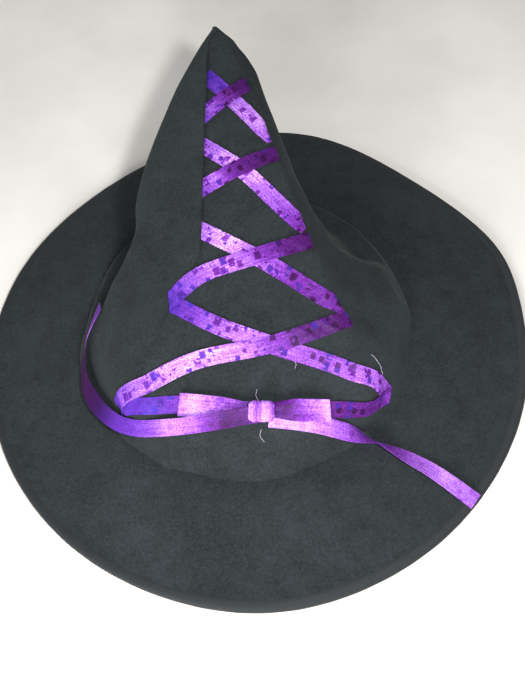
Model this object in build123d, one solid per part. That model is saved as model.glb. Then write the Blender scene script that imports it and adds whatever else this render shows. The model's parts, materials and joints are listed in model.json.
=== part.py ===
from build123d import *
import math
import os

# A soft felt witch hat that rests on its brim with its tall cone flopped backwards.
# Frame: origin at the middle of the head opening, on the circle where crown and brim
# are sewn together. +X is the wearer's left, -Y is the laced front, +Z is up.
# All sizes are in millimetres.

# --- Driving dimensions ---
FELT = 1.2                 # brushed felt
INTERLINING = 0.8          # stiff non-woven that backs the felt
GAP = 0.1                  # room between layers of one sandwich
HEAD_RADIUS = 95.0         # inside the sweatband, a 60 cm head
SEAM_RADIUS = 102.5        # circle where the crown meets the brim
BRIM_RADIUS = 170.0        # outer edge of the rim binding
RIM_DROP = 18.0            # the rim rests this far below the crown seam
RIBBON_WIDTH = 10.0
RIBBON = 0.5
RIBBON_STEP = 0.3          # room between ribbon layers
TAIL_DIAMETER = 5.0        # a round stand-in for each limp flat tail

SWEATBAND_HEIGHT = 16.0
SWEATBAND = 0.7
WIRE_DIAMETER = 1.8
BINDING = 0.6
BINDING_WIDTH = 8.0


# --- The crown's shape: ovals from the seam to the tip ---
# Each oval is (front point, back point, half width, sideways shift), with the two
# points as (y, z) in the middle plane. The lean folds the back wall on itself, so
# the ovals close up at the back and open out at the front.
LOWER_OVALS = [
    ((-SEAM_RADIUS, 0.6), (SEAM_RADIUS, 0.6), SEAM_RADIUS, 0),
    ((-99, 9), (100.5, 9), 99, 0),
    ((-86, 23), (96, 21), 91, -1),
    ((-66, 36), (90, 34), 80, -3),
]
CONE_OVALS = [
    ((-64.5, 37.2), (88, 35.2), 78.5, -3),
    ((-25, 54), (84, 42), 57, -4),
    ((20, 68), (88, 47), 46, -8),
    ((60, 77), (100, 53), 39, -7),
    ((100, 82.5), (122, 62), 29, -4),
    ((140, 86), (148, 73), 18, -1),
    ((169, 88), (169.8, 84), 3, -1),
]
OVAL_POINTS = 12           # a closed spline through these draws each oval
SIDE_SLANT = 1.15          # a side wall leans by about this against its oval
LINING_OUT = -FELT - GAP
LINING_IN = LINING_OUT - INTERLINING
FAR = 200.0                # higher than the hat, for cutting straight down


def wall_slant(ovals, number):
    """Sine of the angle between an oval's own plane and the front wall that crosses it."""
    before = ovals[max(number - 1, 0)][0]
    after = ovals[min(number + 1, len(ovals) - 1)][0]
    front, back = ovals[number][0], ovals[number][1]
    wall = (after[0] - before[0], after[1] - before[1])
    chord = (back[0] - front[0], back[1] - front[1])
    cross = abs(wall[0] * chord[1] - wall[1] * chord[0])
    return cross / (math.hypot(*wall) * math.hypot(*chord))


def oval_face(ovals, number, grow):
    """One oval, with its wall moved out by grow, or in where grow is negative."""
    (front_y, front_z), (back_y, back_z), half_width, shift = ovals[number]
    chord = Vector(0, back_y - front_y, back_z - front_z)
    middle = Vector(shift, (front_y + back_y) / 2, (front_z + back_z) / 2)
    plane = Plane(origin=middle, x_dir=(1, 0, 0), z_dir=Vector(1, 0, 0).cross(chord))
    half_chord = chord.length / 2 + grow / wall_slant(ovals, number)
    half_width += SIDE_SLANT * grow
    turns = [2 * math.pi * step / OVAL_POINTS for step in range(OVAL_POINTS)]
    outline = [(half_width * math.cos(turn), half_chord * math.sin(turn)) for turn in turns]
    return plane * make_face(Spline(*outline, periodic=True))


def crown_surface(ovals, grow, count):
    """The wall through the first ovals, grow outside the felt's, and its two end faces."""
    faces = [oval_face(ovals, number, grow) for number in range(count)]
    spans = [loft([low, high], ruled=True) for low, high in zip(faces, faces[1:])]
    wall = [span.faces().filter_by(GeomType.PLANE, reverse=True)[0] for span in spans]
    mouth = spans[0].faces().filter_by(GeomType.PLANE).sort_by(Axis.Z)[0]
    far_end = spans[-1].faces().filter_by(GeomType.PLANE).sort_by(Axis.Z)[-1]
    return wall, mouth, far_end


def crown_layer(ovals, outer, inner, closed=False):
    """A wall between two surfaces that stand outer and inner from the felt's outside.

    It is open at both ends, or a closed layer stops at the tip, where it is solid.
    """
    count = len(ovals)
    inner_count = count - 1 if closed else count
    outer_wall, outer_mouth, outer_end = crown_surface(ovals, outer, count)
    inner_wall, inner_mouth, inner_end = crown_surface(ovals, inner, inner_count)
    ends = [Face(outer_mouth.outer_wire(), [inner_mouth.outer_wire()])]
    if closed:
        ends += [outer_end, inner_end]
    else:
        ends.append(Face(outer_end.outer_wire(), [inner_end.outer_wire()]))
    return Solid(Shell([*outer_wall, *inner_wall, *ends]))


def crown_parts():
    """The felt and the interlining of the fixed lower crown and of the leaning cone."""
    return {
        "crown_base": crown_layer(LOWER_OVALS, 0, -FELT),
        "crown_base_interlining": crown_layer(LOWER_OVALS[1:], LINING_OUT, LINING_IN),
        "crown_cone": crown_layer(CONE_OVALS, 0, -FELT, closed=True),
        "crown_cone_interlining": crown_layer(CONE_OVALS[:-1], LINING_OUT, LINING_IN),
    }


# --- The slack felt behind the lean ---
CREASE_DEPTH = 12.0
CREASE_ARC = 150.0
CREASE_MIDDLE = (-3.0, 12.0)
CREASE_RADIUS = 74.0
CREASE_LOW = 24.0
CREASE_HIGH = 33.0


def crown_crease():
    """The inward fold of slack felt inside the back of the crown, a V in section."""
    fold_height = (CREASE_LOW + CREASE_HIGH) / 2
    inner = CREASE_RADIUS - CREASE_DEPTH
    with BuildPart() as fold:
        with BuildSketch(Plane.XZ):
            with BuildLine():
                Polyline(
                    (CREASE_RADIUS, CREASE_LOW), (inner, fold_height - FELT / 2),
                    (inner, fold_height + FELT / 2), (CREASE_RADIUS, CREASE_HIGH),
                    (CREASE_RADIUS, CREASE_HIGH - FELT), (inner + FELT, fold_height),
                    (CREASE_RADIUS, CREASE_LOW + FELT), close=True,
                )
            make_face()
        revolve(axis=Axis.Z, revolution_arc=CREASE_ARC)
    start = 90 - CREASE_ARC / 2
    return Location((*CREASE_MIDDLE, 0), (0, 0, start)) * fold.part


# --- The brim ---
BRIM_HOLE = 97.0
BRIM_LEVEL = 158.0         # the dished part ends here and the rim lies level
LAYERS_EDGE = 166.0
LAYERS = 2 * FELT + INTERLINING + 2 * GAP
BRIM_TOP = -0.3            # top of the brim at the crown seam
RIM_TOP = -RIM_DROP + BINDING + LAYERS


def brim_layer(depth, thickness):
    """A dished ring whose top lies depth below the brim's top surface."""
    fall = RIM_TOP - BRIM_TOP
    shape = [(BRIM_HOLE, 0), (112, 0.1), (128, 0.35), (144, 0.72), (BRIM_LEVEL, 1)]
    with BuildPart() as ring:
        with BuildSketch(Plane.XZ):
            with BuildLine():
                top = [(r, BRIM_TOP + share * fall - depth) for r, share in shape]
                low = [(r, z - thickness) for r, z in top]
                Spline(*top, tangents=[(1, 0), (1, 0)])
                Line(top[-1], (LAYERS_EDGE, top[-1][1]))
                Line((LAYERS_EDGE, top[-1][1]), (LAYERS_EDGE, low[-1][1]))
                Line((LAYERS_EDGE, low[-1][1]), low[-1])
                Spline(*low, tangents=[(1, 0), (1, 0)])
                Line(low[0], top[0])
            make_face()
        revolve(axis=Axis.Z)
    return ring.part


def ring_of(section):
    """A full turn of a section drawn in the XZ plane."""
    return revolve(Plane.XZ * section, axis=Axis.Z)


def rim_wire():
    """The springy wire that the binding holds round the rim."""
    radius = LAYERS_EDGE + 0.3 + WIRE_DIAMETER / 2
    height = RIM_TOP - LAYERS / 2
    return ring_of(Pos(radius, height) * Circle(WIRE_DIAMETER / 2))


def rim_binding():
    """The folded tape over the rim: a U on its side, open towards the crown."""
    top = RIM_TOP + GAP + BINDING
    height = top + RIM_DROP
    outside = Pos(BRIM_RADIUS - BINDING_WIDTH / 2, (top - RIM_DROP) / 2)
    outer = outside * Rectangle(BINDING_WIDTH, height)
    outer = chamfer(outer.vertices().sort_by(Axis.X)[-2:], 1.2)
    inner = outside * Pos(-BINDING) * Rectangle(BINDING_WIDTH, height - 2 * BINDING)
    inner = chamfer(inner.vertices().sort_by(Axis.X)[-2:], 0.9)
    return ring_of(outer - inner)


def sweatband():
    """The band inside the head opening."""
    tube = Circle(HEAD_RADIUS + SWEATBAND) - Circle(HEAD_RADIUS)
    return Pos(0, 0, -SWEATBAND_HEIGHT / 2) * extrude(tube, SWEATBAND_HEIGHT)


def brim_parts():
    """The layers of the brim, its edge, and the sweatband."""
    return {
        "brim_top_felt": brim_layer(0, FELT),
        "brim_interlining": brim_layer(FELT + GAP, INTERLINING),
        "brim_under_felt": brim_layer(FELT + INTERLINING + 2 * GAP, FELT),
        "rim_wire": rim_wire(),
        "rim_binding": rim_binding(),
        "sweatband": sweatband(),
    }


# --- The ribbon lacing ---
# Spans from edge to edge of the front panel, as (x, y) seen from above. The spans that
# climb to the wearer's left lie over those that climb to the right.
OVER_SPANS = {
    "lace_over_top": [(16, 121), (-12, 101)],
    "lace_over_upper": [(28, 69), (-17, 50)],
    "lace_over_middle": [(41, 16), (-26, -3), (-43, -13)],
    "lace_over_low": [(58, -26), (-51, -45)],
}
UNDER_SPANS = {
    "lace_under_top": [(-9, 131), (26, 83)],
    "lace_under_upper": [(-13, 81), (38, 29)],
    "lace_under_middle": [(-19, 27), (56, -21)],
    "lace_under_low": [(-40, -16), (43, -45)],
}
# The lowest spans run on down the lower crown to the ends of the band.
OVER_END = {"lace_end_left": [(-59, -47), (-73, -54)]}
UNDER_END = {"lace_end_right": [(54, -48), (78, -57)]}
BAND = {"lace_band": [(-74, -57), (-38, -65), (4, -73), (44, -73), (79, -62)]}


def ribbon_layer(ovals, layer):
    """The thin skin that ribbon layer 1, 2 or 3 occupies over a crown part."""
    low = layer * RIBBON_STEP + (layer - 1) * RIBBON
    return crown_layer(ovals, low + RIBBON, low)


def ribbons(routes, skin):
    """Each route's ribbon: the upper side of the skin inside a band along the route."""
    cut = {}
    for name, route in routes.items():
        line = Polyline(*route) if len(route) > 2 else Line(*route)
        footprint = trace(line, RIBBON_WIDTH - 1)
        column = extrude(footprint, FAR)
        cut[name] = (skin & column).solids().sort_by(Axis.Z)[-1]
    return cut


def lacing_parts():
    """All spans of the lacing, and the band that joins its two lowest ends."""
    return {
        **ribbons(UNDER_SPANS, ribbon_layer(CONE_OVALS, 1)),
        **ribbons(OVER_SPANS, ribbon_layer(CONE_OVALS, 2)),
        **ribbons(UNDER_END, ribbon_layer(LOWER_OVALS, 1)),
        **ribbons(OVER_END, ribbon_layer(LOWER_OVALS, 2)),
        **ribbons(BAND, ribbon_layer(LOWER_OVALS, 3)),
    }


# --- The bow ---
# The knot sits on the band at the front. Its plane's x runs along the band, its y up
# the wall and its z straight off the wall.
WALL_TILT = math.degrees(math.atan2(13, 20))
KNOT_PLACE = Location((5, -76.8, 37), (WALL_TILT, 0, 0))
KNOT = (15, 11, 5.5)
LOOP_WIDTH = RIBBON_WIDTH
LOOP_THICK = 4.4
LOOPS = {
    "bow_loop_left": (46, Location((-3.6, -77.0, 38.2), (WALL_TILT, 0, 0)) * Rotation(0, -10, 171)),
    "bow_loop_right": (40, Location((13.6, -77.2, 36.8), (WALL_TILT, 0, 0)) * Rotation(0, 14, -5)),
}


def bow_knot():
    """The knot, a puffed wrap of ribbon."""
    block = Box(*KNOT)
    block = fillet(block.edges().filter_by(Axis.Y), 2.2)
    return KNOT_PLACE * block


def bow_loop(length, place):
    """A flattened loop of ribbon that starts at the knot and lies along the band."""
    outside = Pos(length / 2) * SlotOverall(length, LOOP_THICK)
    inside = Pos(length / 2) * SlotOverall(length - 2 * RIBBON, LOOP_THICK - 2 * RIBBON)
    ribbon = Rot(90, 0, 0) * extrude(outside - inside, LOOP_WIDTH / 2, both=True)
    return place * ribbon


# Each tail's route, point by point, from the knot to its free end.
TAIL_ROUTES = {
    "bow_tail_left": [
        (-4, -84, 34), (-26, -83, 33), (-50, -80, 26), (-72, -71, 18), (-90, -54, 12),
        (-102, -34, 9), (-103, -14, 14), (-98, 2, 26), (-88, 8, 37),
    ],
    "bow_tail_right": [
        (14, -85, 33), (30, -88, 27), (50, -91, 17), (68, -92, 6), (86, -101, 1),
        (104, -110, -5), (120, -121, -9),
    ],
}


def tail_path(route):
    """Straight runs joined by arcs as large as the runs allow, and the arcs' radii."""
    points = [Vector(*point) for point in route]
    radii = []
    for before, corner, after in zip(points, points[1:], points[2:]):
        arriving, leaving = corner - before, after - corner
        half_turn = math.radians(arriving.get_angle(leaving)) / 2
        radii.append(0.45 * min(arriving.length, leaving.length) / math.tan(half_turn))
    return FilletPolyline(*points, radius=radii), radii


def bow_tail(name, route):
    """A round tube along the tail's route, with its radii and volume printed."""
    path, radii = tail_path(route)
    section = Plane(origin=path @ 0, z_dir=path % 0) * Circle(TAIL_DIAMETER / 2)
    tube = sweep(section, path=path)
    expected = math.pi * TAIL_DIAMETER ** 2 / 4 * path.length
    print(name, "length", round(path.length, 1), "radii", [round(r) for r in radii])
    print(name, "volume over section times length", round(tube.volume / expected, 4))
    return tube


def bow_parts():
    """The knot, both loops and both tails."""
    parts = {"bow_knot": bow_knot()}
    for name, (length, place) in LOOPS.items():
        parts[name] = bow_loop(length, place)
    for name, route in TAIL_ROUTES.items():
        parts[name] = bow_tail(name, route)
    return parts


os.makedirs("parts", exist_ok=True)
hat = {
    **brim_parts(),
    **crown_parts(),
    "crown_crease": crown_crease(),
    **lacing_parts(),
    **bow_parts(),
}
for name, solid in hat.items():
    solid.label = name
    export_step(solid, f"parts/{name}.step")
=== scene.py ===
import json
import math

import bpy
import numpy as np
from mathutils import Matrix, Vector
from mathutils.bvhtree import BVHTree

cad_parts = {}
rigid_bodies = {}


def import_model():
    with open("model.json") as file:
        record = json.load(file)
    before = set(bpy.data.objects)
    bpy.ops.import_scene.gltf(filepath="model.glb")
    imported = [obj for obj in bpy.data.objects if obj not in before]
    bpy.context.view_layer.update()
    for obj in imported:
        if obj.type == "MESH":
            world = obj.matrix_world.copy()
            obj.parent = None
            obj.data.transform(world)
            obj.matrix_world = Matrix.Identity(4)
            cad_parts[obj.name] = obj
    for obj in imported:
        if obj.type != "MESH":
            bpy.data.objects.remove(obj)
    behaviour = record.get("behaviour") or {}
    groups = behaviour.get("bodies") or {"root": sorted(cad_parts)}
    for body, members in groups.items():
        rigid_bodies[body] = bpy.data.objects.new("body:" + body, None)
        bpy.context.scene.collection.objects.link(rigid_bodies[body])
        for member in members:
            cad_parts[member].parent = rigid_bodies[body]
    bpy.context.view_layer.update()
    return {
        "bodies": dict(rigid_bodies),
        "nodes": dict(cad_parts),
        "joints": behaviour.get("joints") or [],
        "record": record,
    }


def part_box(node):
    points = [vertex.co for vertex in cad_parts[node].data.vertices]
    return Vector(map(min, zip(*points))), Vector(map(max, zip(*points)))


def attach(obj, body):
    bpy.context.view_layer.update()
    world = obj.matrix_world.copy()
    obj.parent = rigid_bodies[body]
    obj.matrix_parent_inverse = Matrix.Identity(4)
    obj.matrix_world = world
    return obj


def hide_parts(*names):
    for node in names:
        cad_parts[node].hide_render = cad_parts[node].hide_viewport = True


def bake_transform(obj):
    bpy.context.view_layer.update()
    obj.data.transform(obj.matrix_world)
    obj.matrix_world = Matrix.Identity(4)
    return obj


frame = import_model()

# A black felt witch hat with violet satin lacing, whose cone has flopped back over the brim.
# Lengths are in millimetres, and MM turns them to metres. The front is towards -Y.
MM = 0.001
SEAM_RADIUS = 102.5          # where the crown's foot is sewn to the brim
BRIM_HOLE = 97.0             # the brim's felt goes on inside the seam as far as this
RIM_RADIUS = 169.5
RIM_HEIGHT = -13.4           # top of the brim at its rim
RIM_CENTRE = np.array([6.0, -1.3, 0.0])   # the brim has slipped a little to the side
FELT = 1.2                   # thickness
RIBBON_WIDTH = 10.0
RIBBON = 0.3                 # thickness


# --- Helpers -----------------------------------------------------------------

def unit(v):
    """Vectors along the last axis, each made one long."""
    v = np.asarray(v, float)
    return v / np.maximum(np.linalg.norm(v, axis=-1, keepdims=True), 1e-9)


def smoothstep(low, high, x):
    """0 below low, 1 above high, and a soft ramp between them."""
    t = np.clip((np.asarray(x, float) - low) / (high - low), 0, 1)
    return t * t * (3 - 2 * t)


def through(points, count):
    """A smooth curve through given points, at count even steps of its parameter."""
    p = np.asarray(points, float)
    p = np.vstack([2 * p[0] - p[1], p, 2 * p[-1] - p[-2]])
    t = np.linspace(0, len(points) - 1, count)
    k = np.minimum(t.astype(int), len(points) - 2)
    f = (t - k)[:, None]
    a, b, c, d = p[k], p[k + 1], p[k + 2], p[k + 3]
    return 0.5 * (2 * b + (c - a) * f + (2 * a - 5 * b + 4 * c - d) * f ** 2
                  + (3 * b - a - 3 * c + d) * f ** 3)


def evenly(points, step):
    """A curve's points set again about step apart along its length."""
    gaps = np.linalg.norm(np.diff(points, axis=0), axis=1)
    run = np.concatenate([[0], np.cumsum(gaps)])
    at = np.linspace(0, run[-1], max(int(run[-1] / step), 2) + 1)
    return np.stack([np.interp(at, run, points[:, i]) for i in range(3)], axis=1)


def build_mesh(name, points, faces, material, uv=None, tone=None, sharp=50):
    """A smooth-shaded object from points in millimetres and lists of corner numbers."""
    mesh = bpy.data.meshes.new(name)
    mesh.from_pydata((np.asarray(points, float) * MM).tolist(), [], faces)
    corners = np.empty(len(mesh.loops), int)
    mesh.loops.foreach_get("vertex_index", corners)
    # the tone layer holds the satin's painted light: highlight and shade, and blue reflection
    for layer_name, values in (("cloth_mm", uv), ("tone", tone)):
        if values is not None:
            layer = mesh.uv_layers.new(name=layer_name)
            layer.data.foreach_set("uv", np.asarray(values, float)[corners].ravel())
    mesh.validate()
    mesh.shade_smooth()
    mesh.set_sharp_from_angle(angle=math.radians(sharp))
    mesh.materials.append(material)
    piece = bpy.data.objects.new(name, mesh)
    bpy.context.collection.objects.link(piece)
    return piece


def grid_normals(grid, wrap):
    """Unit normals of a grid of points; wrap joins its last column to its first."""
    if wrap:
        across = np.roll(grid, -1, axis=1) - np.roll(grid, 1, axis=1)
    else:
        across = np.gradient(grid, axis=1)
    return unit(np.cross(across, np.gradient(grid, axis=0)))


def even_normals(grid, wrap):
    """A grid's normals averaged over their neighbours, so that a layer under it stays whole."""
    normals = grid_normals(grid, wrap)
    for _ in range(4):
        total = 2 * normals
        total[1:] += normals[:-1]
        total[:-1] += normals[1:]
        if wrap:
            total += np.roll(normals, 1, axis=1) + np.roll(normals, -1, axis=1)
        normals = unit(total)
    return normals


def grid_faces(rows, columns, wrap, first=0, flip=False):
    """The quads of a grid of points whose numbers start at first."""
    last = columns if wrap else columns - 1
    faces = []
    for r in range(rows - 1):
        for c in range(last):
            n = (c + 1) % columns
            a, b = r * columns + c, r * columns + n
            quad = (a, b, b + columns, a + columns)
            faces.append(tuple(first + k for k in (reversed(quad) if flip else quad)))
    return faces


def cloth(name, grid, thickness, material, wrap=False, uv=None, tone=None, outward=1):
    """A closed layer of cloth: the grid is its outer face, and it is thickness deep."""
    rows, columns = grid.shape[:2]
    inner = grid - even_normals(grid, wrap) * outward * thickness
    count = rows * columns
    faces = grid_faces(rows, columns, wrap, flip=outward < 0)
    faces += grid_faces(rows, columns, wrap, first=count, flip=outward > 0)
    edge = [(r, c) for r in (0, rows - 1) for c in range(columns if wrap else columns - 1)]
    for r, c in edge:
        a, b = r * columns + c, r * columns + (c + 1) % columns
        if (r == 0) == (outward > 0):
            a, b = b, a
        faces.append((a, b, b + count, a + count))
    sides = [] if wrap else [(r, c) for r in range(rows - 1) for c in (0, columns - 1)]
    for r, c in sides:
        a, b = r * columns + c, (r + 1) * columns + c
        if (c == 0) != (outward > 0):
            a, b = b, a
        faces.append((a, b, b + count, a + count))
    points = np.vstack([grid.reshape(-1, 3), inner.reshape(-1, 3)])
    uv, tone = (None if layer is None else np.vstack([layer.reshape(-1, 2)] * 2)
                for layer in (uv, tone))
    return build_mesh(name, points, faces, material, uv, tone)


def round_cord(line, radius, sides):
    """The points and faces of a thin solid thread along a line of points."""
    line = np.asarray(line, float)
    ahead = unit(np.gradient(line, axis=0))
    across = unit(np.cross(ahead, (0.31, 0.17, 0.93)))
    over = np.cross(ahead, across)
    turns = np.linspace(0, 2 * np.pi, sides, endpoint=False)
    ring = (across[:, None] * np.cos(turns)[None, :, None]
            + over[:, None] * np.sin(turns)[None, :, None])
    points = (line[:, None] + radius * ring).reshape(-1, 3)
    faces = grid_faces(len(line), sides, True)
    faces += [tuple(reversed(range(sides))), tuple(range(len(points) - sides, len(points)))]
    return points, faces


def thread_group(name, lines, radius, material, sides):
    """Many threads as one piece."""
    points, faces = [], []
    for line in lines:
        p, f = round_cord(line, radius, sides)
        first = sum(len(q) for q in points)
        points.append(p)
        faces += [tuple(first + k for k in face) for face in f]
    return build_mesh(name, np.vstack(points), faces, material)


# --- Materials ---------------------------------------------------------------

def linear(hex_colour):
    """An sRGB hex colour as the linear RGBA that the shaders take."""
    parts = [int(hex_colour[i:i + 2], 16) / 255 for i in (1, 3, 5)]
    return tuple(c / 12.92 if c <= 0.04045 else ((c + 0.055) / 1.055) ** 2.4 for c in parts) + (1,)


def add(material, kind, settings=None, links=None, **values):
    """Adds a node: attributes from settings, socket values, and links from other sockets."""
    node = material.node_tree.nodes.new(kind)
    for key, value in (settings or {}).items():
        setattr(node, key, value)
    for key, value in values.items():
        node.inputs[key.replace("_", " ")].default_value = value
    for key, source in (links or {}).items():
        material.node_tree.links.new(source, node.inputs[key])
    return node


def new_material(name, **values):
    """An empty node material with one surface shader, and that shader."""
    material = bpy.data.materials.new(name)
    material.use_nodes = True
    material.node_tree.nodes.clear()
    shader = add(material, "ShaderNodeBsdfPrincipled", **values)
    add(material, "ShaderNodeOutputMaterial", links={"Surface": shader.outputs[0]})
    return material, shader


def colour_ramp(material, factor, stops):
    """A ramp of hex colours at given places, driven by a factor socket."""
    node = add(material, "ShaderNodeValToRGB", links={"Fac": factor})
    ramp = node.color_ramp
    for place, colour in stops[1:-1]:
        ramp.elements.new(place).color = linear(colour)
    for element, (place, colour) in ((ramp.elements[0], stops[0]), (ramp.elements[-1], stops[-1])):
        element.position, element.color = place, linear(colour)
    return node.outputs["Color"]


def weighted_sum(material, parts):
    """The sum of some textures' factors, each times its weight."""
    total = None
    for texture, weight in parts:
        node = add(material, "ShaderNodeMath", {"operation": "MULTIPLY_ADD"}, {0: texture.outputs[0]})
        node.inputs[1].default_value = weight
        node.inputs[2].default_value = 0
        if total:
            material.node_tree.links.new(total, node.inputs[2])
        total = node.outputs[0]
    return total


def brushed_felt(name, dark, light):
    """Polyester felt, needled and brushed: matt and finely speckled, with a short nap that
    pales at grazing edges."""
    material, shader = new_material(name, Roughness=0.95, Sheen_Weight=0.12, Sheen_Roughness=0.5,
                                    Sheen_Tint=linear("#8E9A94"), Specular_IOR_Level=0.25)
    place = add(material, "ShaderNodeTexCoord").outputs["Object"]
    # the nap's real grain is finer: it is drawn 1.5 mm coarse so that it shows
    fibre = add(material, "ShaderNodeTexNoise", links={"Vector": place}, Scale=1 / (1.5 * MM),
                Detail=5, Roughness=0.75)
    clump = add(material, "ShaderNodeTexNoise", links={"Vector": place}, Scale=1 / (11 * MM), Detail=3)
    patch = add(material, "ShaderNodeTexNoise", links={"Vector": place}, Scale=1 / (60 * MM), Detail=2)
    tone = weighted_sum(material, [(fibre, 0.6), (clump, 0.2), (patch, 0.2)])
    colour = colour_ramp(material, tone, [(0.3, dark), (0.7, light)])
    bump = add(material, "ShaderNodeBump", links={"Height": fibre.outputs["Fac"]}, Strength=0.35,
               Distance=0.5 * MM)
    material.node_tree.links.new(colour, shader.inputs["Base Color"])
    material.node_tree.links.new(bump.outputs[0], shader.inputs["Normal"])
    return material


def satin_ribbon(name, pucker_shade):
    """Polyester satin ribbon with light painted into its colour: lilac painted highlight where the tone
    layer's first value is high, plum with fine lengthwise lines where it is low, and painted blue
    reflection from the second. The second argument is the painted shade in its puckers' hollows."""
    material, shader = new_material(name, Roughness=0.42, Anisotropic=0.5, Specular_IOR_Level=0.1,
                                    Sheen_Weight=0.05, Sheen_Roughness=0.35,
                                    Sheen_Tint=linear("#CF9CF5"))
    place = add(material, "ShaderNodeUVMap", {"uv_map": "cloth_mm"}).outputs["UV"]
    tone = add(material, "ShaderNodeUVMap", {"uv_map": "tone"}).outputs["UV"]
    split = add(material, "ShaderNodeSeparateXYZ", links={"Vector": tone})
    # painted shade in the puckers' hollows, 1 to 4 mm along and 2 to 5 mm across, some plum and some
    # blue
    bend = add(material, "ShaderNodeTexNoise", links={"Vector": place}, Scale=1 / 3)
    bent = add(material, "ShaderNodeVectorMath", {"operation": "MULTIPLY_ADD"},
               {0: bend.outputs["Color"], 2: place})
    bent.inputs[1].default_value = (1.4, 1.4, 1.4)
    spread = add(material, "ShaderNodeMapping", links={"Vector": bent.outputs[0]},
                 Scale=(1 / 5, 1 / 6.5, 1))
    dimple = add(material, "ShaderNodeTexVoronoi", {"distance": "CHEBYCHEV"},
                 {"Vector": spread.outputs[0]}, Scale=1.0, Randomness=0.9)
    chance = add(material, "ShaderNodeSeparateColor", links={"Color": dimple.outputs["Color"]})
    depth = weighted_sum(material, [(dimple, 1), (chance, 0.26)])
    spot = add(material, "ShaderNodeMapRange", links={"Value": depth}, From_Min=0.33, From_Max=0.45)
    blue_cell = add(material, "ShaderNodeMapRange", links={"Value": chance.outputs["Green"]},
                    From_Min=0.6, From_Max=0.7, To_Max=3 * pucker_shade)
    hollow = add(material, "ShaderNodeMapRange", links={"Value": spot.outputs[0]},
                 To_Min=1, To_Max=0)
    painted_blue = add(material, "ShaderNodeMath", {"operation": "MULTIPLY_ADD", "use_clamp": True},
               {0: blue_cell.outputs[0], 1: hollow.outputs[0], 2: split.outputs["Y"]})
    fleck = add(material, "ShaderNodeTexNoise", links={"Vector": place}, Scale=1.0, Detail=3,
                Roughness=0.7)
    flow = add(material, "ShaderNodeTexNoise", links={"Vector": place}, Scale=1 / 13, Detail=1)
    # real floats are far finer: the lines are drawn 0.9 mm apart so that they show
    stretched = add(material, "ShaderNodeMapping", links={"Vector": place}, Scale=(0.04, 1.1, 1))
    line = add(material, "ShaderNodeTexNoise", links={"Vector": stretched.outputs[0]}, Scale=1.0,
               Detail=2)
    # the tone's first value adds painted highlight and shade, and the spots add painted shade in the
    # hollows
    mix = weighted_sum(material, [(split, 0.34), (spot, pucker_shade), (fleck, 0.5), (flow, 0.12),
                                  (line, 0.24)])
    top = 0.84 + pucker_shade     # the mix where the painted highlight is brightest
    colour = colour_ramp(material, mix, [(top - 0.56, "#34103F"), (top - 0.42, "#4E1A68"),
                                         (top - 0.26, "#7A34AA"), (top - 0.13, "#AC6CDC"),
                                         (min(top - 0.03, 0.98), "#D29CF4"), (1, "#E8C0FC")])
    # a colour mix takes its factor, first and second colours at sockets 0, 6 and 7
    # the painted blue reflection, and the blue of some painted hollows, are mixed in here
    blue_reflection_mix = add(material, "ShaderNodeMix", {"data_type": "RGBA"}, {0: painted_blue.outputs[0], 6: colour})
    blue_reflection_mix.inputs[7].default_value = linear("#442CA4")
    threads = add(material, "ShaderNodeTexWave", {"bands_direction": "Y"}, {"Vector": place},
                  Scale=1 / 0.9, Distortion=0.4)
    height = weighted_sum(material, [(threads, 0.2), (fleck, 0.6)])
    bump = add(material, "ShaderNodeBump", links={"Height": height}, Strength=0.3,
               Distance=0.25 * MM)
    material.node_tree.links.new(blue_reflection_mix.outputs[2], shader.inputs["Base Color"])
    material.node_tree.links.new(bump.outputs[0], shader.inputs["Normal"])
    return material


def ribbed_band(name, colour, step):
    """A ribbed woven tape of polyester, whose fine ribs catch dull light. Slanting waves repeat
    every 0.36 of their step in millimetres, so a 0.9 step sets ribs a third of one apart."""
    material, shader = new_material(name, Base_Color=linear(colour), Roughness=0.7)
    place = add(material, "ShaderNodeTexCoord").outputs["Object"]
    ribs = add(material, "ShaderNodeTexWave", {"bands_direction": "DIAGONAL"}, {"Vector": place},
               Scale=1 / (step * MM), Distortion=0.5)
    bump = add(material, "ShaderNodeBump", links={"Height": ribs.outputs["Fac"]}, Strength=0.5,
               Distance=0.3 * MM)
    material.node_tree.links.new(bump.outputs[0], shader.inputs["Normal"])
    return material


def pressed_fibre(name, dark, light):
    """Non-woven interlining: pressed short fibres, dull and slightly mottled."""
    material, shader = new_material(name, Roughness=0.9)
    place = add(material, "ShaderNodeTexCoord").outputs["Object"]
    fibre = add(material, "ShaderNodeTexNoise", links={"Vector": place}, Scale=1 / (2 * MM), Detail=6)
    colour = colour_ramp(material, fibre.outputs["Fac"], [(0.35, dark), (0.7, light)])
    bump = add(material, "ShaderNodeBump", links={"Height": fibre.outputs["Fac"]}, Strength=0.3,
               Distance=0.4 * MM)
    material.node_tree.links.new(colour, shader.inputs["Base Color"])
    material.node_tree.links.new(bump.outputs[0], shader.inputs["Normal"])
    return material


def spun_thread(name, colour):
    """Spun polyester thread: slightly glossy, with a fine twist."""
    material, shader = new_material(name, Base_Color=linear(colour), Roughness=0.55)
    place = add(material, "ShaderNodeTexCoord").outputs["Object"]
    twist = add(material, "ShaderNodeTexWave", links={"Vector": place}, Scale=1 / (0.6 * MM))
    bump = add(material, "ShaderNodeBump", links={"Height": twist.outputs["Fac"]}, Strength=0.4,
               Distance=0.1 * MM)
    material.node_tree.links.new(bump.outputs[0], shader.inputs["Normal"])
    return material


def drawn_wire(name):
    """Drawn spring wire: bright steel with faint lengthwise lines."""
    material, shader = new_material(name, Base_Color=linear("#B9BBBD"), Metallic=1.0)
    place = add(material, "ShaderNodeTexCoord").outputs["Object"]
    lines = add(material, "ShaderNodeTexNoise", links={"Vector": place}, Scale=1 / (0.8 * MM))
    rough = add(material, "ShaderNodeMapRange", links={"Value": lines.outputs["Fac"]},
                To_Min=0.25, To_Max=0.45)
    material.node_tree.links.new(rough.outputs[0], shader.inputs["Roughness"])
    return material


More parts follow.
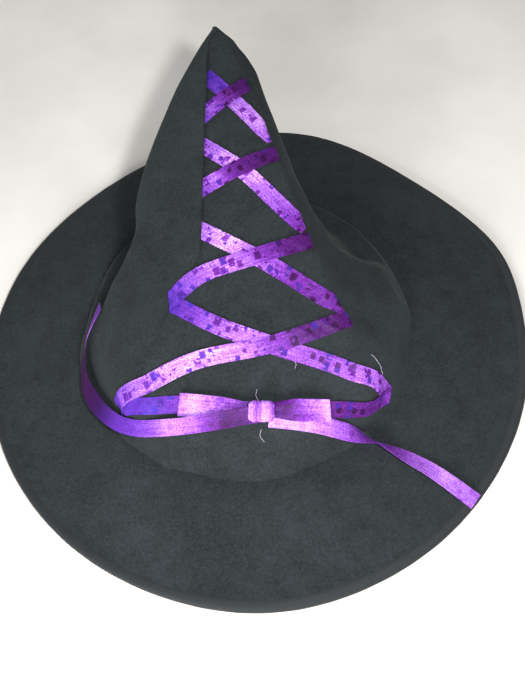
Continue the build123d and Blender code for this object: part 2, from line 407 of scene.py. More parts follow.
FELT_CLOTH = brushed_felt("brushed_polyester_felt", "#0A0D0E", "#33393C")
BINDING_TAPE = ribbed_band("woven_binding_tape", "#1A1F22", 0.9)
# the second value is the painted shade in the pucker hollows: deep on the lacing, faint on the bow and
# tails
SATIN = satin_ribbon("puckered_violet_satin", 0.2)
SMOOTH_SATIN = satin_ribbon("smooth_violet_satin", 0.04)
GROSGRAIN = ribbed_band("grosgrain_sweatband", "#1D1D1F", 1.2)
LINING = pressed_fibre("pressed_interlining", "#17191A", "#26292A")
BLACK_THREAD = spun_thread("black_sewing_thread", "#4A525A")
PALE_THREAD = spun_thread("pale_sewing_thread", "#C8BAD8")
WIRE = drawn_wire("drawn_spring_wire")


# --- Camera ------------------------------------------------------------------
CAMERA_PLACE = (9.2, -289.9, 482.5)
CAMERA_AIM = (9.2, -17.4, 0.0)
CAMERA_ROLL = math.radians(-5.85)


def make_camera():
    """The camera, above and in front of the hat, turned a few degrees about its own axis."""
    data = bpy.data.cameras.new("camera")
    data.lens = 46.3
    data.clip_start = 0.01
    camera = bpy.data.objects.new("camera", data)
    bpy.context.collection.objects.link(camera)
    camera.location = Vector(CAMERA_PLACE) * MM
    sight = Vector(CAMERA_AIM) - Vector(CAMERA_PLACE)
    camera.rotation_euler = sight.to_track_quat("-Z", "Y").to_euler()
    camera.rotation_euler.rotate_axis("Z", CAMERA_ROLL)
    bpy.context.scene.camera = camera


make_camera()


# --- The bow's tails ---------------------------------------------------------
# Each tail's route, the way its flat side faces at each point of the route, and two rows of
# tones at even steps along it: painted highlight and shade, and painted blue reflection.
TAILS = {
    "left": (
        [(3, -77.5, 36.5), (-22, -78.5, 34), (-47, -76.5, 27.5), (-73, -70, 18), (-90, -52, 11.5),
         (-99, -33, 10.5), (-99, -15, 14.5), (-92, -2, 24), (-84, 5, 33)],
        [(0, -.6, .8), (0, -.6, .8), (-.1, -.7, .7), (-.4, -.6, .7), (-.35, -.55, .75),
         (-.35, -.4, .8), (-.84, .1, .45), (-.84, .29, .36), (-.8, .15, .5)],
        (.1, -.2, .6, .9, .5, .2, -.6, -1, -.8, .8, .2), (0, 0, 0, .1, .5, .5, .1, 0, 0, 0, .2),
    ),
    "right": (
        [(9, -79, 32), (30, -81, 27), (50, -84, 16), (67, -86, 4), (86, -97, -1),
         (104, -108, -7), (121, -124, -11)],
        [(0, -.6, .8), (.05, -.6, .8), (.25, -.4, .8), (.54, .68, .35), (.25, .3, .9),
         (.1, .1, 1), (.1, -.1, 1)],
        (1, 1, .6, .3, .6, .9, .7), (0, 0, .1, 0, 0, 0, .1),
    ),
}
TAIL_STEP = 1.5
TAIL_COLUMNS = 9


def tones(painted_light, painted_blue, rows, columns):
    """A leg's painted highlight and shade and its painted blue reflection, spread from their even steps
    to every row across it.
    """
    at = np.linspace(0, 1, rows)
    pair = [np.interp(at, np.linspace(0, 1, len(values)), values) for values in (painted_light, painted_blue)]
    return np.repeat(np.stack(pair, axis=1)[:, None], columns, axis=1)


def tail_line(route):
    """The smooth line of a limp tail through its route's control points."""
    curve = bpy.data.curves.new("tail_route", "CURVE")
    curve.dimensions = "3D"
    curve.resolution_u = 24
    spline = curve.splines.new("NURBS")
    spline.points.add(len(route) - 1)
    for point, place in zip(spline.points, route):
        point.co = (*place, 1)
    spline.order_u = 3
    spline.use_endpoint_u = True
    holder = bpy.data.objects.new("tail_route", curve)
    mesh = bpy.data.meshes.new_from_object(holder)
    line = np.array([v.co for v in mesh.vertices])
    bpy.data.objects.remove(holder)
    bpy.data.meshes.remove(mesh)
    return line


def make_tail(side):
    """One tail: a flat satin ribbon that twists along its route and rolls a little at its edges."""
    route, facing, painted_light, painted_blue = TAILS[side]
    line = evenly(tail_line(route), TAIL_STEP)
    share = np.linspace(0, len(facing) - 1, len(line))
    face = np.stack([np.interp(share, range(len(facing)), np.array(facing)[:, i])
                     for i in range(3)], axis=1)
    ahead = unit(np.gradient(line, axis=0))
    across = unit(np.cross(face, ahead))
    normal = np.cross(ahead, across)
    v = np.linspace(-0.5, 0.5, TAIL_COLUMNS)
    curl = 1.2 * (v ** 2)[None, :, None] * np.sin(share * 1.7)[:, None, None]
    grid = (line[:, None] + across[:, None] * (v * RIBBON_WIDTH)[None, :, None]
            + normal[:, None] * curl)
    length = np.linalg.norm(np.diff(line, axis=0), axis=1).sum()
    uv = np.stack(np.broadcast_arrays(np.linspace(0, length, len(line))[:, None],
                                      (v * RIBBON_WIDTH)[None, :]), axis=2)
    tail = cloth(f"tail_{side}", grid, RIBBON, SMOOTH_SATIN, uv=uv,
                 tone=tones(painted_light, painted_blue, *grid.shape[:2]))
    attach(tail, "root")
    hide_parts(f"bow_tail_{side}")


for side in TAILS:
    make_tail(side)


# --- The crown ---------------------------------------------------------------
# Stations from the seam to the tip. Each gives the front and back points (y, z) of one
# slanted section, its left and right limits, the left fold line and the right edge of the
# laced front panel (x), how far the section is from a plain oval, how deep the panel tucks
# in under the left fold, and how full the back of the section is.
STATIONS = [
    ((-103.5, -0.2), (103.5, -0.2), -103.5, 103.5, -60, 62, 0.0, 0.0, 0.74),
    ((-100.5, 5), (101.5, 7), -100, 100.5, -66, 70, 0.0, 0.0, 0.74),
    ((-95, 12), (100.5, 15), -95.5, 97, -70, 76, 0.15, 0.0, 0.74),
    ((-86, 23), (96, 22), -90, 92, -70, 75, 0.4, 0.0, 0.70),
    ((-76, 30.5), (90, 28), -85.5, 86, -66, 71, 0.55, 0.0, 0.64),
    ((-63, 37.5), (80, 31), -81, 77, -58, 66, 0.7, 0.3, 0.58),
    ((-43, 46.5), (76, 36), -74, 66, -50, 60, 0.85, 0.3, 0.58),
    ((-20, 55), (80, 42), -64, 55, -38, 51, 0.95, 0.6, 0.62),
    ((2, 62), (86, 46), -59, 47, -25, 44, 1.0, 0.8, 0.68),
    ((24, 68), (92, 49), -57, 42, -20, 39, 1.0, 6.5, 0.72),
    ((60, 77.5), (106, 56), -49, 35, -15.5, 30.5, 1.0, 6.5, 0.74),
    ((100, 83), (126, 65), -36, 28, -11.5, 21.5, 1.0, 5.5, 0.74),
    ((132, 86.5), (145, 75), -22, 21.5, -7.5, 13, 1.0, 3.0, 0.74),
    ((153, 88), (158.5, 80.5), -11.5, 13, -4.5, 7, 0.8, 1.5, 0.74),
    ((168.5, 88.5), (169.5, 86.5), -1.6, 2.2, -0.5, 1, 0.3, 0.2, 0.74),
]
ROWS_PER_STATION = 14
# Columns between neighbouring control points of a section, starting at the panel's middle.
COLUMNS = (14, 8, 7, 12, 14, 14, 14, 14, 12, 12, 9, 3, 5, 7, 14)


def section_points(left, right, ridge, edge, shaped, tuck, full, half, folded_over):
    """A section's control points as (x, height over the section's middle): an oval, a
    flattened section with the panel's fold, or a share of both."""
    middle, wide = (left + right) / 2, (right - left) / 2
    ridge_turn = math.asin((ridge - middle) / wide)
    edge_turn = math.asin((edge - middle) / wide)
    side = math.pi / 2
    turns = [(ridge_turn + edge_turn) / 2, 0.75 * edge_turn, edge_turn,
             edge_turn + 0.35 * (side - edge_turn), side, 1.5 * side, 2 * side, 2.5 * side, 3 * side,
             3 * side + 0.33 * (side + ridge_turn), 3 * side + 0.72 * (side + ridge_turn),
             4 * side + ridge_turn - 0.01, 4 * side + ridge_turn, 4 * side + ridge_turn + 0.01,
             4 * side + 0.8 * ridge_turn]
    oval = np.array([(middle + wide * math.sin(t), half * math.cos(t)) for t in turns])
    lap = smoothstep(0.5, 4, tuck) * folded_over
    level = 0.93 * half
    folded = np.array([
        ((ridge + edge) / 2, 0.96 * half), (edge - 5, 0.92 * half), (edge, 0.85 * half),
        (edge + 0.35 * (right - edge) + 1.5, 0.62 * half), (right, 0.05 * half),
        (middle + full * wide, -0.66 * half), (middle, -half), (middle - full * wide, -0.64 * half),
        (left, 0.0), (left + 0.33 * (ridge - left), 0.52 * half),
        (left + 0.72 * (ridge - left), (0.83 + 0.04 * lap) * half + 2.2 * lap),
        (ridge - 2 + 1.6 * lap, level + 3.8 * lap), (ridge - 1 + 1.7 * lap, level + 2.1 * lap),
        (ridge + 0.4 * (1 - lap) - tuck * lap, level - 1.6 * lap), (ridge + 2.5, level - 0.2)])
    return oval * (1 - shaped) + folded * shaped


def closed_section(control):
    """The closed smooth outline through a section's control points."""
    n = len(control)
    outline = []
    for i, count in enumerate(COLUMNS):
        a, b, c, d = (control[(i + k) % n] for k in (-1, 0, 1, 2))
        # even spacing would overshoot at the fold, so the slopes follow the shorter neighbour
        ab, bc, cd = (np.linalg.norm(q - p) + 1e-6 for p, q in ((a, b), (b, c), (c, d)))
        start = (c - a) * bc / (ab + bc)
        finish = (d - b) * bc / (bc + cd)
        t = np.linspace(0, 1, count, endpoint=False)[:, None]
        outline.append((2 * t ** 3 - 3 * t ** 2 + 1) * b + (t ** 3 - 2 * t ** 2 + t) * start
                       + (3 * t ** 2 - 2 * t ** 3) * c + (t ** 3 - t ** 2) * finish)
    return np.vstack(outline)


# Creases and swells of the soft felt: points on the crown, depth (negative swells), width.
CREASES = [
    ([(58, 2, 40), (74, 8, 26), (90, 6, 12)], 1.6, 8),
    ([(52, 24, 42), (70, 34, 28), (84, 42, 14)], 2.0, 9),
    ([(44, 44, 44), (58, 58, 34), (70, 72, 18)], 2.0, 9),
    ([(66, -22, 36), (80, -24, 22), (94, -30, 8)], 1.0, 8),
    ([(74, -44, 26), (66, -30, 34), (62, -14, 40)], -0.8, 7),
    ([(30, 80, 40), (36, 90, 28), (40, 98, 10)], 3.0, 8),
    ([(-4, 78, 40), (-8, 92, 26), (-6, 102, 8)], 3.4, 9),
    ([(-34, 72, 42), (-42, 82, 28), (-48, 90, 10)], 3.0, 8),
    ([(-48, 56, 40), (-62, 66, 24), (-66, 72, 10)], 2.2, 8),
    ([(-66, 26, 34), (-82, 32, 20), (-92, 36, 8)], 1.6, 8),
    ([(-40, 20, 66), (-52, 40, 56), (-58, 52, 50)], 0.9, 10),
    ([(-20, -62, 38), (10, -66, 37), (36, -62, 35)], 0.8, 7),
    ([(-30, -30, 52), (0, -24, 56), (30, -32, 50)], -0.8, 12),
    ([(-36, -6, 55), (-50, -28, 45), (-62, -46, 31), (-72, -56, 18)], 1.3, 4),
    ([(8, 20, 68), (20, 40, 70)], 0.6, 9),
    ([(-2, 96, 83), (8, 110, 84)], 0.5, 7),
    ([(16, 140, 80), (12, 152, 84)], 0.8, 5),
]


def crease_depth(points):
    """How far the creases move each point along its normal, added up."""
    moved = np.zeros(len(points))
    for line, depth, width in CREASES:
        line = np.asarray(line, float)
        near = np.full(len(points), 1e9)
        for a, b in zip(line, line[1:]):
            t = np.clip(((points - a) @ (b - a)) / ((b - a) @ (b - a)), 0, 1)
            near = np.minimum(near, np.linalg.norm(points - a - t[:, None] * (b - a), axis=1))
        moved -= depth * np.exp(-(near / width) ** 2)
        moved += 0.4 * depth * np.exp(-((near - 1.7 * width) / width) ** 2)
    return moved


def soft_noise(points, size):
    """Smooth unevenness of about size between swells, from a few fixed waves."""
    waves = np.random.default_rng(11)
    total = np.zeros(len(points))
    for _ in range(7):
        way = unit(waves.normal(size=3)) * 2 * np.pi / (size * waves.uniform(0.7, 1.5))
        total += np.sin(points @ way + waves.uniform(0, 6.28))
    return total / 7


# Where the lying cone's left and right outlines are: at each y, the x.
LEFT_OUTLINE = [(-13, -93), (6, -84), (18, -75), (34, -64), (39, -62.5), (59, -56), (79, -50),
                (93, -44)]
RIGHT_OUTLINE = [(8, 66), (29, 50), (45, 44), (73, 37), (98, 31)]
SWEATBAND_COVER = 9.8        # the sunk foot still has to pass over the sweatband's top edge
MOST_SUNK = 0.84             # the share of its height that the foot can lose


def sinking(points):
    """How far the crown's slack foot sinks onto the brim, behind and outside the cone's outline."""
    x, y, z = points.T
    left, right = (np.array(line, float).T for line in (LEFT_OUTLINE, RIGHT_OUTLINE))
    outside_left = smoothstep(-2.5, 2.5, np.interp(y, *left) - x) * smoothstep(2, 14, y)
    outside_right = smoothstep(-2, 8, x - np.interp(y, *right)) * smoothstep(12, 40, y)
    low = 0.6 + SWEATBAND_COVER * smoothstep(0, 7, SEAM_RADIUS - np.hypot(x, y))
    share = (outside_left + outside_right) * smoothstep(98, 84, y)
    return np.maximum(z - low, 0) * np.minimum(share, MOST_SUNK)


# Behind the lean, the slack felt folds this deep inwards between the foot and the cone.
SLACK_DEPTH = 38.0
SLACK_STATION = 5.6
SLACK_SPREAD = 0.42          # in stations


def crown_grid(folded_over):
    """The crown as rows from the seam to the tip: the outer face, and how far it has sunk.
    folded_over is 1 for the felt with its fold, or 0 for the plain shape inside the fold."""
    flat = np.array([[*front, *back, *rest] for front, back, *rest in STATIONS], float)
    rows = through(flat, (len(STATIONS) - 1) * ROWS_PER_STATION + 1)
    grid = []
    for k, (fy, fz, by, bz, *shape) in enumerate(rows):
        half = math.hypot(fy - by, fz - bz) / 2
        outline = closed_section(section_points(*shape, half, folded_over))
        up = np.array([fy - by, fz - bz]) / (2 * half)
        middle = np.array([fy + by, fz + bz]) / 2
        ring = np.column_stack([outline[:, 0], middle + outline[:, 1:] * up])
        off = (k / ROWS_PER_STATION - SLACK_STATION) / SLACK_SPREAD
        inward = SLACK_DEPTH * math.exp(-off ** 2)
        ring[:, 1] -= inward * smoothstep(0.15, 0.95, -outline[:, 1] / half)
        grid.append(ring)
    grid = np.array(grid)
    normals = grid_normals(grid, True)
    points = grid.reshape(-1, 3)
    free = smoothstep(0, 12, points[:, 2]) * smoothstep(168, 158, points[:, 1])
    moved = (crease_depth(points) + 0.35 * soft_noise(points, 34)) * free
    grid = grid + normals * moved.reshape(grid.shape[:2])[..., None]
    foot = 1 - smoothstep(4.0, 5.6, np.arange(len(grid)) / ROWS_PER_STATION)
    foot = np.repeat(foot[:, None], grid.shape[1], axis=1)
    drop = sinking(grid.reshape(-1, 3)).reshape(foot.shape) * foot
    grid[..., 2] -= drop
    return grid, drop


def surface(points_grid, wrap):
    """A search tree over a grid's faces."""
    rows, columns = points_grid.shape[:2]
    return BVHTree.FromPolygons(points_grid.reshape(-1, 3).tolist(), grid_faces(rows, columns, wrap))


def outward_side(grid):
    """1 where a closed grid's normals point out of it, or -1 where they point in."""
    middle = len(grid) // 10
    out = grid[middle, 0] - grid[middle].mean(axis=0)
    return 1 if grid_normals(grid, True)[middle, 0] @ out > 0 else -1


crown, _ = crown_grid(1.0)


def make_crown():
    """The felt of the crown, and the interlining behind it."""
    outward = outward_side(crown)
    felt = cloth("crown_felt", crown, FELT, FELT_CLOTH, wrap=True, outward=outward)
    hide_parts("crown_base", "crown_cone", "crown_crease")
    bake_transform(felt)
    plain, sunk = crown_grid(0.0)
    depth = FELT + 0.8 + 1.2 * smoothstep(0, 6, sunk)
    rows = slice(3 * ROWS_PER_STATION, -2 * ROWS_PER_STATION)
    inside = (plain - even_normals(plain, True) * outward * depth[..., None])[rows]
    lining = cloth("crown_lining", inside, 0.6, LINING, wrap=True, outward=outward)
    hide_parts("crown_base_interlining", "crown_cone_interlining")
    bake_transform(lining)


make_crown()


# --- The brim ----------------------------------------------------------------
BRIM_TURNS = 360
# The rim has relaxed out of round: (degrees round from +X, bulge, half width in degrees).
RIM_BULGES = [(15, 4.0, 12), (44, -4.0, 16), (76, 5.0, 16), (128, -3.5, 20), (-92, 2.0, 18),
              (170, 1.0, 25), (-40, -1.0, 20)]


def brim_place(radius, angle, depth=0.0):
    """A point of the brim at a nominal radius, depth below its top face."""
    share = np.clip((radius - SEAM_RADIUS) / (RIM_RADIUS - SEAM_RADIUS), 0, 1.1)
    bulge = 0
    for middle, size, half in RIM_BULGES:
        off = (np.degrees(angle) - middle + 180) % 360 - 180
        bulge = bulge + size * np.exp(-(off / half) ** 2)
    r = radius + bulge * share
    slope = smoothstep(0, 1, share ** 0.9 * 0.93) / smoothstep(0, 1, 0.93)
    drop = -0.3 + (RIM_HEIGHT + 0.3) * slope
    wave = share * (1 - share) * 4 * (0.9 * np.sin(3 * angle + 0.6) + 0.6 * np.sin(5 * angle + 2))
    x = r * np.cos(angle) + RIM_CENTRE[0] * share
    y = r * np.sin(angle) + RIM_CENTRE[1] * share
    return np.stack(np.broadcast_arrays(x, y, drop + wave - depth), axis=-1)


def brim_grid(radii, depth):
    """Rings of the brim at the given radii."""
    angles = np.linspace(0, 2 * np.pi, BRIM_TURNS, endpoint=False)
    return brim_place(np.asarray(radii)[:, None], angles[None, :], depth)


def make_brim():
    """The two felt layers of the brim and the interlining between them."""
    radii = np.linspace(BRIM_HOLE, RIM_RADIUS - 2.4, 56)
    layers = [("brim_top", 0.0, FELT, FELT_CLOTH, "brim_top_felt", "black_felt"),
              ("brim_core", 1.3, 0.8, LINING, "brim_interlining", "interlining"),
              ("brim_under", 2.2, FELT, FELT_CLOTH, "brim_under_felt", "black_felt")]
    for name, depth, thick, material, node, slot in layers:
        layer = cloth(name, brim_grid(radii, depth), thick, material, wrap=True)
        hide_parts(node)
        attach(layer, "root")


BINDING_WIDTH = 5.6
STITCH_PITCH = 4.2
STITCH_LENGTH = 3.0


def make_rim():
    """The binding tape folded over the rim, its stitching, and the wire inside it."""
    angles = np.linspace(0, 2 * np.pi, BRIM_TURNS, endpoint=False)
    puff = 0.12 * np.sin(angles * 61) + 0.1 * np.sin(angles * 37 + 1)
    # the tape's section, outwards from the rim and up from the brim's top face
    fold = [(-BINDING_WIDTH, 0.7), (-4.4, 0.95), (-3.0, 1.0), (-1.4, 0.75), (-0.35, -0.1), (0, -1.7),
            (-0.35, -3.2), (-1.4, -4.1), (-3.0, -4.35), (-4.4, -4.3), (-BINDING_WIDTH, -4.1)]
    section = through(np.array([(r, z, 0) for r, z in fold]), 31)
    rings = []
    for r, z, _ in section:
        ring = brim_place(RIM_RADIUS + r + 0.25 * puff, angles)
        ring[:, 2] += z + 0.5 * puff * (z > 0.5)
        rings.append(ring)
    tape = cloth("rim_tape", np.array(rings), 0.45, BINDING_TAPE, wrap=True)
    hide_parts("rim_binding")
    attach(tape, "root")
    count = int(2 * np.pi * RIM_RADIUS / STITCH_PITCH)
    stitches = []
    for k in range(count):
        turn = 2 * np.pi * (k + np.linspace(0, STITCH_LENGTH / STITCH_PITCH, 5)) / count
        line = brim_place(RIM_RADIUS - BINDING_WIDTH + 1.3, turn)
        line[:, 2] += 0.85 + 0.18 * np.sin(np.linspace(0, np.pi, 5))
        stitches.append(line)
    thread = thread_group("rim_stitching", stitches, 0.22, BLACK_THREAD, 5)
    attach(thread, "root")
    ring = brim_place(RIM_RADIUS - 1.9, np.append(angles, angles[0]))
    ring[:, 2] -= 1.7
    wire = thread_group("rim_spring_wire", [ring], 0.8, WIRE, 8)
    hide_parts("rim_wire")
    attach(wire, "root")


make_brim()
make_rim()


# --- The lacing --------------------------------------------------------------
PANEL_FROM = 21              # columns of the front panel to the left of its middle
EDGE_COLUMN = 22             # the column along the panel's right edge
panel_columns = [crown[:, -PANEL_FROM:], crown[:, :EDGE_COLUMN + 12]]
PANEL = surface(np.concatenate(panel_columns, axis=1), False)
WHOLE = surface(crown, True)
EDGE_LINE = crown[:, EDGE_COLUMN]
RIBBON_STEP = 1.0
RIBBON_COLUMNS = 11
SLIT = 3.0                   # a span dives through the felt in this length past the edge
DIVE = 3.6                   # and goes this deep
BAND_LEFT = [(-72, -54, 20), (-56, -60, 27), (-38, -65, 32), (-16, -71, 33), (5, -74, 32)]
BAND_RIGHT = [(81, -60, 7), (62, -68, 16), (44, -73, 24), (26, -74.5, 29), (5, -74, 32)]
# Each stretch of ribbon: the nodes that it stands for, whether it keeps to the front panel,
# and its legs. A leg is its route, its height over the felt, its painted highlight and shade, and its
# painted blue reflection.
SPANS = {
    "lacing_under_top": (["lace_under_top"], True, [
        ([(-9, 131, 86), (8, 108, 84), (27, 80, 76)], 0.5, (.2, .5, .8, .9, .7), (.8, .6, .1, 0, 0))]),
    "lacing_over_top": (["lace_over_top"], True, [
        ([(-16, 97, 83), (3, 112, 84), (22, 124, 80)], 1.1, (.5, .7, .2, -.2, -.1), (.8, .2, 0, 0, 0))]),
    "lacing_under_upper": (["lace_under_upper"], True, [
        ([(-19, 84.5, 81), (10, 58, 76), (40, 23, 63)], 0.5, (.6, .9, .9, .6, .3), (.5, 0, 0, .1, 0))]),
    "lacing_over_upper": (["lace_over_upper"], True, [
        ([(-22, 48.5, 75), (5, 61, 77), (34, 72, 72)], 1.1, (.5, .7, .1, -.2, -.1), (.5, 0, 0, 0, 0))]),
    "lacing_under_middle": (["lace_under_middle"], True, [
        ([(-23, 29, 70), (16, 4, 63), (60, -25.5, 40)], 0.5,
         (.7, 1, .8, .3, .2, .2), (.3, 0, 0, 0, 0, 0))]),
    "lacing_over_middle": (
        ["lace_over_middle", "lace_under_low", "lace_end_right", "lace_band"], False, [
        ([(47, 17.5, 56), (40, 15.5, 58), (8, 7, 64), (-22, 0, 62), (-40, -12, 55)], 1.5,
         (-.2, -.1, .3, .8, .8, .6, .4), (0, 0, 0, 0, 0, .3, .8)),
        ([(-40, -12, 55), (-14, -29, 53), (14, -41, 47), (50, -52, 33), (81, -60, 7)], 0.9,
         (.2, .6, .8, .6, .5, .7, .5), (.7, .2, 0, 0, 0, 0, 0)),
        (BAND_RIGHT, 0.9, (.4, 0, 0, .1, .2), (0, 0, 0, 0, 0))]),
    "lacing_over_low": (["lace_over_low", "lace_end_left", "lace_band"], False, [
        ([(56, -27.5, 40), (14, -41, 47), (-30, -46, 46), (-70, -53, 24)], 1.1,
         (-.2, 0, .7, 1, .9, .7), (0, 0, 0, 0, .1, .4)),
        (BAND_LEFT, 0.6, (.2, .3, .4, .6, .8), (.7, .6, .2, 0, 0))]),
}


def smoothed(values, width):
    """A row of vectors with its small jumps averaged away; its ends stay where they are."""
    kernel = np.hanning(width + 2)[1:-1]
    kernel /= kernel.sum()
    half = width // 2
    before = 2 * values[0] - values[half:0:-1]
    after = 2 * values[-1] - values[-2:-half - 2:-1]
    padded = np.vstack([before, values, after])
    return np.stack([np.convolve(padded[:, i], kernel, "valid") for i in range(3)], axis=1)


def leg_frame(route, tree):
    """A leg's middle line on the felt, the way ahead, and the felt's own normal along it."""
    line = evenly(through(route, 80), RIBBON_STEP)
    normal = np.zeros_like(line)
    for k, p in enumerate(line):
        line[k], normal[k], _, _ = tree.find_nearest(Vector(p))
    normal *= np.sign(normal @ np.array((0, -0.5, 0.86)))[:, None]
    line = smoothed(line, 15)
    normal = unit(smoothed(normal, 15))
    return line, unit(np.gradient(line, axis=0)), normal


def fold_slopes(before, after):
    """How far along, for each step across, the crease of a flat fold lies on both its legs."""
    normal, came, went = before[2][-1], before[1][-1], after[1][0]
    went = unit(went - normal * (went @ normal))
    crease = unit(came + went)
    return [float(crease @ ahead) / float(crease @ np.cross(normal, ahead)) for ahead in (came, went)]


def lay_leg(frame, lift, tree, start_slope, end_slope, dives, seed):
    """Rows of points across one leg of ribbon, and their places along and across it. A leg
    that dives goes through its slit in the felt where it passes the panel's right edge."""
    line, ahead, normal = frame
    across = unit(np.cross(normal, ahead))
    v = np.linspace(-0.5, 0.5, RIBBON_COLUMNS) * RIBBON_WIDTH
    run = np.concatenate([[0], np.cumsum(np.linalg.norm(np.diff(line, axis=0), axis=1))])
    from_end = run[-1] - run
    shift = np.zeros((len(line), len(v)))
    if start_slope is not None:
        shift += np.clip(1 - run / 12, 0, 1)[:, None] * v[None, :] * start_slope
    if end_slope is not None:
        shift += np.clip(1 - from_end / 12, 0, 1)[:, None] * v[None, :] * end_slope
    phase = np.random.default_rng(seed).uniform(0, 6.28, 4)
    grid = np.empty((len(line), len(v), 3))
    for k in range(len(line)):
        s = run[k]
        for c, side in enumerate(v):
            p = line[k] + across[k] * side + ahead[k] * shift[k, c]
            place, _, _, _ = tree.find_nearest(Vector(p))
            height = min(max(float((np.array(place) - p) @ normal[k]), -1.5), 1.5)
            pucker = (0.2 * math.sin(s * 0.9 + phase[0]) * math.cos(side * 0.75 + phase[1])
                      + 0.14 * math.sin(s * 0.47 + side * 0.4 + phase[2])
                      + 0.1 * math.sin(s * 1.7 - side * 0.9 + phase[3]))
            sink = 0.0
            if dives:
                past = p[0] - np.interp(p[1], EDGE_LINE[:, 1], EDGE_LINE[:, 0])
                sink = DIVE * smoothstep(-0.8, SLIT, past)
            grid[k, c] = p + normal[k] * (height + lift + pucker - sink)
    uv = np.stack(np.broadcast_arrays(run[:, None] + 60 * seed, v[None, :]), axis=2)
    return grid, uv


def make_span(name, nodes, on_panel, legs, seed):
    """One stretch of lacing, folded flat where it turns from leg to leg."""
    tree = PANEL if on_panel else WHOLE
    frames = [leg_frame(leg[0], tree) for leg in legs]
    slopes = [fold_slopes(a, b) for a, b in zip(frames, frames[1:])]
    grids, uvs, shades = [], [], []
    for k, (_, lift, painted_light, painted_blue) in enumerate(legs):
        start = slopes[k - 1][1] if k else None
        end = slopes[k][0] if k < len(slopes) else None
        grid, uv = lay_leg(frames[k], lift, tree, start, end, on_panel or k == 0, seed + k)
        shade = tones(painted_light, painted_blue, *grid.shape[:2])
        if k % 2:
            grid, uv = grid[:, ::-1], uv[:, ::-1]
        grids.append(grid)
        uvs.append(uv)
        shades.append(shade)
    span = cloth(name, np.concatenate(grids), RIBBON, SATIN, uv=np.concatenate(uvs),
                 tone=np.concatenate(shades))
    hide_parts(*nodes)
    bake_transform(span)


for seed, (name, span) in enumerate(SPANS.items()):
    make_span(name, *span, 3 * seed + 1)


# --- The bow -----------------------------------------------------------------
BAND = BAND_LEFT[:-1] + BAND_RIGHT[::-1]
KNOT_X = 5.0
KNOT_HALF = (7.0, 5.9, 2.9)  # half its length along the band, across it, and outwards
# A loop's side view: the share of its reach along the band, and the height over the felt.
LOOP_SHAPE = [(0, 2.9), (0.2, 4.2), (0.5, 4.9), (0.8, 4.5), (0.97, 3.6), (1.0, 2.8), (0.96, 2.1),
              (0.8, 1.8), (0.5, 1.7), (0.2, 1.8), (0, 2.2)]
band_line, band_ahead, band_normal = leg_frame(BAND, WHOLE)
band_run = np.concatenate([[0], np.cumsum(np.linalg.norm(np.diff(band_line, axis=0), axis=1))])
knot_at = float(np.interp(KNOT_X, band_line[:, 0], band_run))


def band_place(at):
    """The band's middle, its normal, the way ahead and the way across, this far along it."""
    p, n, a = (np.array([np.interp(at, band_run, rows[:, i]) for i in range(3)])
               for rows in (band_line, band_normal, band_ahead))
    n, a = unit(n), unit(a)
    return p, n, a, unit(np.cross(n, a))


def bow_loop(name, way, reach, height, painted_light, seed):
    """A flattened loop of ribbon that leaves the knot along the band and comes back over itself.
    way is -1 for the left loop, height is its share of the full height."""
    shape = through([(out, lift * height, 0) for out, lift in LOOP_SHAPE], 90)
    v = np.linspace(-0.5, 0.5, RIBBON_COLUMNS)
    phase = np.random.default_rng(seed).uniform(0, 6.28, 2)
    grid = np.empty((len(shape), len(v), 3))
    for k, (out, lift, _) in enumerate(shape):
        p, n, a, across = band_place(knot_at + way * (4 + out * reach))
        wide = 0.8 + 0.45 * smoothstep(0, 0.5, out)
        top = smoothstep(2.4 * height, 3.8 * height, lift)
        for c, w in enumerate(v):
            fold = 0.3 * math.sin(out * 9 + w * 6 + phase[0]) + 0.28 * math.sin(w * 11 + phase[1])
            swell = 0.8 * (1 - (2 * w) ** 2) * top * (1 - 0.4 * out)
            grid[k, c] = (p + n * (lift + fold * (1 - out) + swell) - a * way * w * 1.6 * out
                          + across * (w * RIBBON_WIDTH * wide + 0.7 * top))
    uv = np.stack(np.broadcast_arrays(np.linspace(0, 2 * reach, 90)[:, None] + 90 * seed,
                                      (v * RIBBON_WIDTH)[None, :]), axis=2)
    # the loop's tone is painted highlight and shade along it, with no painted blue reflection
    loop = cloth(f"bow_{name}", grid, RIBBON, SMOOTH_SATIN, uv=uv,
                 tone=tones(painted_light, (0, 0), *grid.shape[:2]))
    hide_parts(f"bow_{name}")
    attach(loop, "root")


def softened(value, power):
    """A sine or cosine squared up towards a box's, for a pillow shape."""
    return np.sign(value) * np.abs(value) ** power


def make_knot():
    """The knot: a flat, slightly puffed wrap of ribbon, with faint folds across the band."""
    p, n, a, across = band_place(knot_at)
    along = np.linspace(-np.pi / 2, np.pi / 2, 48)[:, None]
    around = np.linspace(0, 2 * np.pi, 72, endpoint=False)[None, :]
    x = softened(np.sin(along), 0.8) + 0 * around
    y = softened(np.cos(along), 0.28) * softened(np.cos(around), 0.5)
    z = softened(np.cos(along), 0.35) * softened(np.sin(around), 0.7)
    folds = 1 + 0.02 * np.sin(x * 10 + 0.8) + 0.012 * np.sin(x * 17 + y * 2)
    pinch = 1 - 0.05 * np.exp(-(x / 0.5) ** 2)
    size = np.array(KNOT_HALF)
    grid = (p + n * (size[2] + 2.4) + (x * size[0])[..., None] * a
            + (y * size[1] * pinch * folds)[..., None] * across + (z * size[2] * folds)[..., None] * n)
    uv = np.stack([y * 6 + 300, x * 6], axis=2)
    # painted highlight, stronger and weaker in bands along the knot, with no painted blue reflection
    tone = np.stack([0.8 + 0.2 * np.sin(x * 5), 0 * x], axis=2)
    knot = cloth("bow_wrap", grid, RIBBON, SMOOTH_SATIN, wrap=True, uv=uv, tone=tone, outward=-1)
    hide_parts("bow_knot")
    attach(knot, "root")


# each loop's last tuple is its painted highlight and shade along it
bow_loop("loop_left", -1, 42, 0.66, (.3, .6, 1, .8, 1, 1, .8, .5), 2)
bow_loop("loop_right", 1, 34, 1.0, (-.1, 0, .6, 1.1, 1, .9, .8, .8, .6), 5)
make_knot()

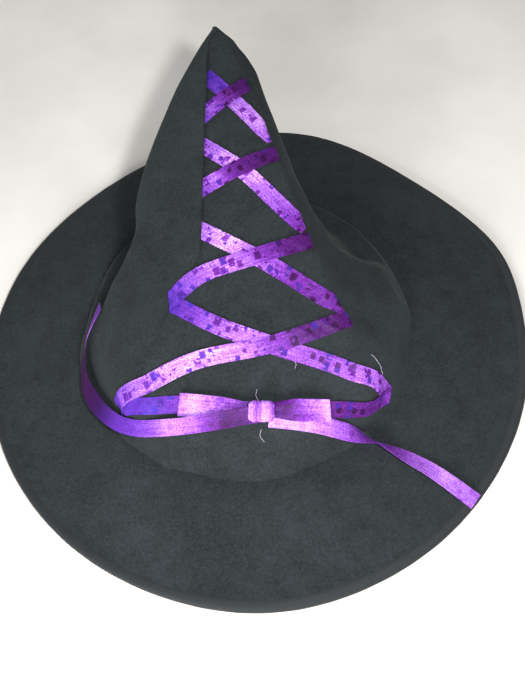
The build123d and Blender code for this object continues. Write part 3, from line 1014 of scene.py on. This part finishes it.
# Loose ends of the thread that tacks the ribbon, lying on the felt.
LOOSE_THREADS = [
    [(65, -43, 25), (67.5, -45, 22), (68.5, -48, 20), (68, -50, 19)],
    [(25, -49, 43), (27, -52, 42), (26, -54, 40)],
    [(4, -64, 39), (3, -67, 38), (4, -69, 36)],
    [(4, -84, 28), (3, -87, 25), (5, -89, 22)],
]


def make_loose_threads():
    """Thin pale threads, a hair above the felt."""
    lines = []
    for route in LOOSE_THREADS:
        line = through(route, 16)
        for k, p in enumerate(line):
            place, normal, _, _ = WHOLE.find_nearest(Vector(p))
            lift = normal * (1 if normal.z > 0 else -1)
            line[k] = place + lift * (0.5 + 0.25 * math.sin(k))
        lines.append(line)
    threads = thread_group("loose_threads", lines, 0.12, PALE_THREAD, 5)
    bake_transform(threads)


make_loose_threads()


# --- Sweatband ---------------------------------------------------------------
sweatband = frame["nodes"]["sweatband"]
sweatband.data.materials.clear()
sweatband.data.materials.append(GROSGRAIN)


# --- Light and floor ---------------------------------------------------------
FLOOR_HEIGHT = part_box("rim_binding")[0][2] / MM - 0.05
FLOOR_RADIUS = 6000


def area_light(name, place, aim, size, power):
    """A soft square light that points from place to aim."""
    data = bpy.data.lights.new(name, "AREA")
    data.size = size * MM
    data.energy = power
    light = bpy.data.objects.new(name, data)
    light.location = Vector(place) * MM
    light.rotation_euler = (Vector(aim) - Vector(place)).to_track_quat("-Z", "Y").to_euler()
    bpy.context.collection.objects.link(light)


def make_stage():
    """A pale floor under the rim, a pale sky, and soft lights."""
    rings, turns = 24, 48
    radii = np.linspace(0, FLOOR_RADIUS, rings)[:, None]
    angles = np.linspace(0, 2 * np.pi, turns, endpoint=False)
    grid = np.stack(np.broadcast_arrays(radii * np.cos(angles), radii * np.sin(angles),
                                        FLOOR_HEIGHT), axis=2)
    material, shader = new_material("matt_paper_floor", Roughness=0.9)
    place = add(material, "ShaderNodeTexCoord").outputs["Object"]
    grain = add(material, "ShaderNodeTexNoise", links={"Vector": place}, Scale=1 / (60 * MM), Detail=4)
    colour = colour_ramp(material, grain.outputs["Fac"], [(0.3, "#E6E2DB"), (0.7, "#F1EEE8")])
    material.node_tree.links.new(colour, shader.inputs["Base Color"])
    floor = build_mesh("floor", grid.reshape(-1, 3), grid_faces(rings, turns, True), material)
    world = bpy.data.worlds.new("pale_room")
    world.use_nodes = True
    world.node_tree.nodes["Background"].inputs[0].default_value = linear("#EEF0F2")
    world.node_tree.nodes["Background"].inputs[1].default_value = 0.3
    bpy.context.scene.world = world
    area_light("key", (130, -320, 550), (-20, -60, 20), 60, 3.4)
    area_light("fill", (-260, -800, 330), (-30, -120, 0), 400, 9)
    area_light("window", (-900, 500, 900), (0, 40, 20), 700, 3)


make_stage()
bpy.context.scene.view_settings.view_transform = "Standard"
